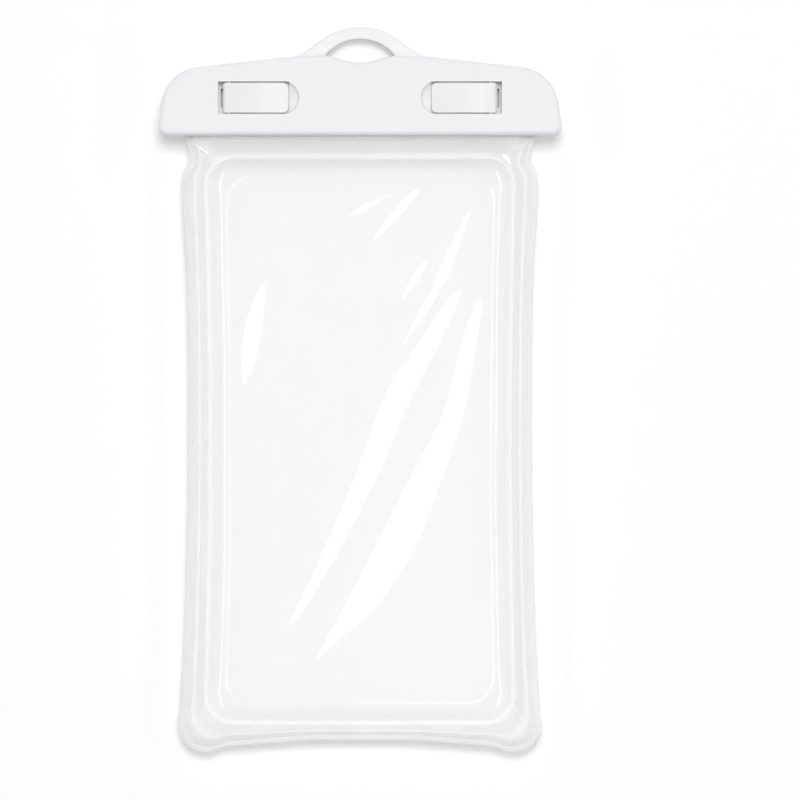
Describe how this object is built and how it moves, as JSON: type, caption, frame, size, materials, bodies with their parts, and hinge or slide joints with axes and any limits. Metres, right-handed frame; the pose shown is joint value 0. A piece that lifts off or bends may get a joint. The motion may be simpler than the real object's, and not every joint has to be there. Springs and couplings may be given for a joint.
{
  "type": "waterproof phone pouch",
  "caption": "Clear waterproof phone pouch lying on its back, with an inflated rim, a white clamp across its mouth, flip-up latch levers and a strap loop.",
  "frame": {"origin": "on the surface that the pouch lies on, under the middle of its outline", "axes": "+Z out of the pouch's front, +Y along the pouch towards the clamp and the strap loop, +X to the right seen from the front"},
  "size_m": [0.12, 0.2161, 0.0143],
  "materials": {
    "clamp_plastic": "satin white moulded plastic",
    "lever_plastic": "polished, clear to milky moulded plastic",
    "bag_film": "smooth clear soft plastic film",
    "rim_film": "smooth clear soft plastic film, slightly milky, drawn tight over air",
    "seal_silicone": "matt translucent silicone",
    "pin_steel": "drawn wire"
  },
  "bodies": {
    "root": {"front_clamp_bar": "clamp_plastic", "rear_clamp_bar": "clamp_plastic", "seal_strip": "seal_silicone", "left_latch_pin": "pin_steel", "right_latch_pin": "pin_steel", "front_film": "bag_film", "rear_film": "bag_film", "front_air_rim": "rim_film", "rear_air_rim": "rim_film"},
    "left_latch": {"left_latch_lever": "lever_plastic"},
    "right_latch": {"right_latch_lever": "lever_plastic"}
  },
  "joints": [
    {"name": "left_latch_hinge", "type": "hinge", "parent": "root", "child": "left_latch", "pos_m": [-0.0389, 0.0868, 0.012], "axis": [0, -1, 0], "range_deg": [0, 105]},
    {"name": "right_latch_hinge", "type": "hinge", "parent": "root", "child": "right_latch", "pos_m": [0.0389, 0.0868, 0.012], "axis": [0, 1, 0], "range_deg": [0, 105]}
  ]
}
